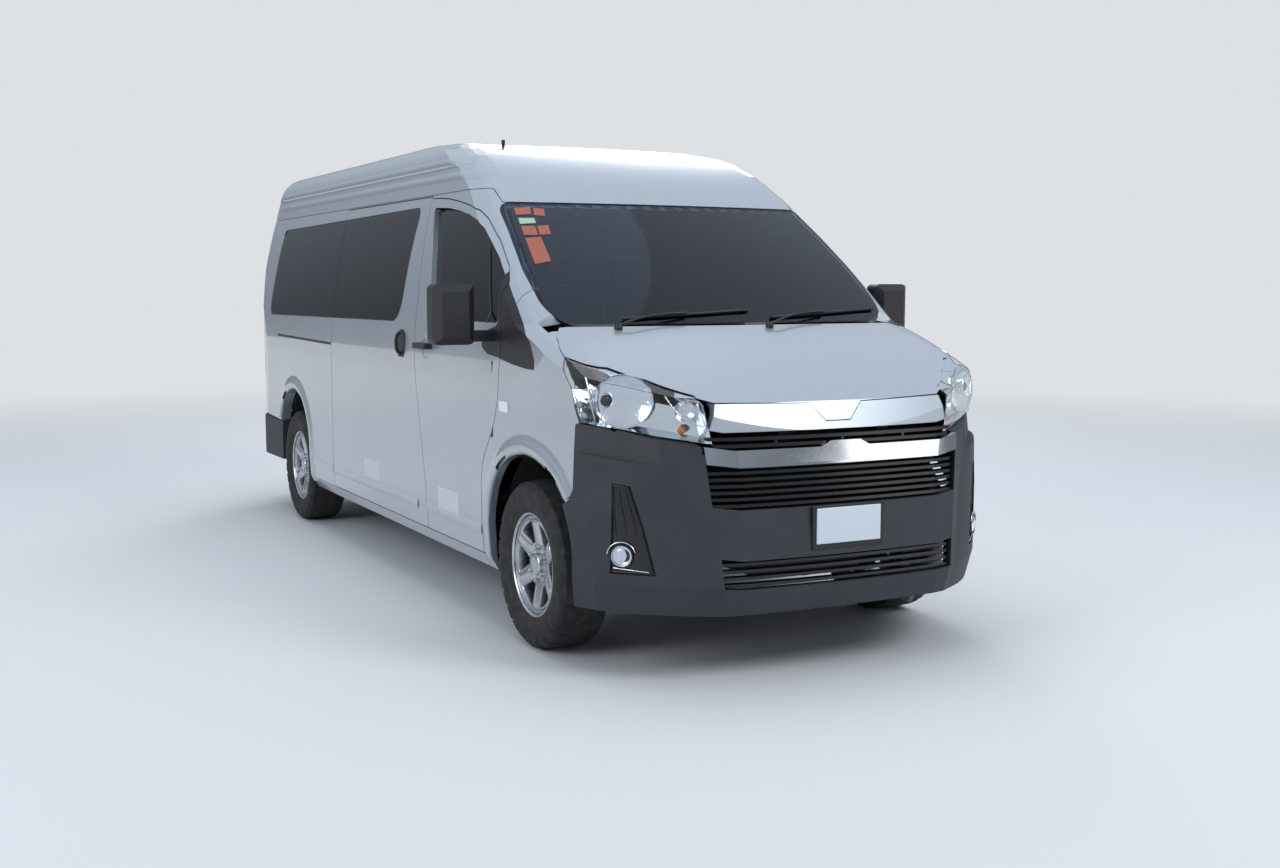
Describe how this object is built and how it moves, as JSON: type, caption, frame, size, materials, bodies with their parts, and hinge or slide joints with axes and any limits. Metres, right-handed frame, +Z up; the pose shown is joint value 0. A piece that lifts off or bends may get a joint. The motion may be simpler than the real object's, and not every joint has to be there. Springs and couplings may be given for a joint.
{
  "type": "passenger van",
  "caption": "Long high-roof passenger van with hinged front doors, bonnet and tailgate, steered front wheels and freely turning wheels under a hollow cabin with seats.",
  "frame": {"origin": "on the ground at mid length and mid width of the van", "axes": "+Z up, +Y towards the rear, so the front faces -Y; +X is the left side of the van"},
  "size_m": [2.49, 5.9109, 2.2786],
  "materials": {
    "body_paint": "silver metallic paint",
    "dark_glass": "tinted glass",
    "lamp_clear": "clear lamp cover over a bright reflector",
    "lamp_red": "red lamp cover",
    "grained_plastic": "grained unpainted plastic",
    "black_plastic": "black plastic",
    "bright_trim": "bright plated trim",
    "alloy": "polished alloy",
    "tyre_rubber": "tyre rubber",
    "underbody_steel": "dark underbody coating",
    "raw_steel": "bare steel",
    "iron": "cast iron",
    "seat_fabric": "woven seat cloth",
    "cabin_plastic": "moulded cabin plastic"
  },
  "bodies": {
    "body": {"body_side_left": "body_paint", "body_side_right": "body_paint", "chassis_rails": "underbody_steel", "chrome_bar": "bright_trim", "cowl_panel": "black_plastic", "dashboard": "cabin_plastic", "engine_block": "iron", "exhaust_pipe": "raw_steel", "floor_pan": "underbody_steel", "fog_lamps": "black_plastic", "front_bumper": "grained_plastic", "front_crossmember": "underbody_steel", "front_fenders": "body_paint", "front_seats": "seat_fabric", "front_subframe": "underbody_steel", "front_wheelhouses": "underbody_steel", "fuel_tank": "cabin_plastic", "grille": "black_plastic", "headlamps": "lamp_clear", "inner_sills": "underbody_steel", "leaf_springs": "raw_steel", "nose_panel": "body_paint", "pillar_trims": "black_plastic", "rear_axle": "iron", "rear_bumper": "grained_plastic", "rear_seats": "seat_fabric", "roof_antenna": "black_plastic", "roof_panel": "body_paint", "side_glass": "dark_glass", "sliding_door": "body_paint", "sliding_door_glass": "dark_glass", "spare_wheel": "tyre_rubber", "steering_wheel": "black_plastic", "tail_lamps": "lamp_red", "towing_eyes": "raw_steel", "windscreen": "dark_glass"},
    "door_left": {"front_door_left": "body_paint", "front_door_glass_left": "dark_glass", "door_trim_left": "black_plastic"},
    "door_right": {"front_door_right": "body_paint", "front_door_glass_right": "dark_glass", "door_trim_right": "black_plastic"},
    "bonnet_lid": {"bonnet": "body_paint"},
    "tailgate_lid": {"tailgate": "body_paint", "tailgate_glass": "dark_glass"},
    "steer_left": {"knuckle_left": "iron"},
    "steer_right": {"knuckle_right": "iron"},
    "wheel_front_left": {"tyre_front_left": "tyre_rubber", "rim_front_left": "alloy"},
    "wheel_front_right": {"tyre_front_right": "tyre_rubber", "rim_front_right": "alloy"},
    "wheel_rear_left": {"tyre_rear_left": "tyre_rubber", "rim_rear_left": "alloy"},
    "wheel_rear_right": {"tyre_rear_right": "tyre_rubber", "rim_rear_right": "alloy"}
  },
  "joints": [
    {"name": "steering_left", "type": "hinge", "parent": "body", "child": "steer_left", "pos_m": [0.78, -2.0125, 0.356], "axis": [0, 0, 1], "range_deg": [-35, 35]},
    {"name": "steering_right", "type": "hinge", "parent": "body", "child": "steer_right", "pos_m": [-0.78, -2.0125, 0.356], "axis": [0, 0, 1], "range_deg": [-35, 35]},
    {"name": "wheel_front_left_spin", "type": "hinge", "parent": "steer_left", "child": "wheel_front_left", "pos_m": [0.85, -2.0125, 0.356], "axis": [1, 0, 0], "continuous": true},
    {"name": "wheel_front_right_spin", "type": "hinge", "parent": "steer_right", "child": "wheel_front_right", "pos_m": [-0.85, -2.0125, 0.356], "axis": [1, 0, 0], "continuous": true},
    {"name": "wheel_rear_left_spin", "type": "hinge", "parent": "body", "child": "wheel_rear_left", "pos_m": [0.85, 1.8475, 0.356], "axis": [1, 0, 0], "continuous": true},
    {"name": "wheel_rear_right_spin", "type": "hinge", "parent": "body", "child": "wheel_rear_right", "pos_m": [-0.85, 1.8475, 0.356], "axis": [1, 0, 0], "continuous": true},
    {"name": "door_left_hinge", "type": "hinge", "parent": "body", "child": "door_left", "pos_m": [0.962, -1.6425, 1.1], "axis": [0, 0, -1], "range_deg": [0, 65]},
    {"name": "door_right_hinge", "type": "hinge", "parent": "body", "child": "door_right", "pos_m": [-0.962, -1.6425, 1.1], "axis": [0, 0, 1], "range_deg": [0, 65]},
    {"name": "bonnet_hinge", "type": "hinge", "parent": "body", "child": "bonnet_lid", "pos_m": [0, -1.9825, 1.31], "axis": [-1, 0, 0], "range_deg": [0, 55]},
    {"name": "tailgate_hinge", "type": "hinge", "parent": "body", "child": "tailgate_lid", "pos_m": [0, 2.7495, 2.03], "axis": [1, 0, 0], "range_deg": [0, 85]}
  ],
  "couplings": [
    {"joint": "steering_right", "follows": "steering_left", "ratio": 1}
  ]
}
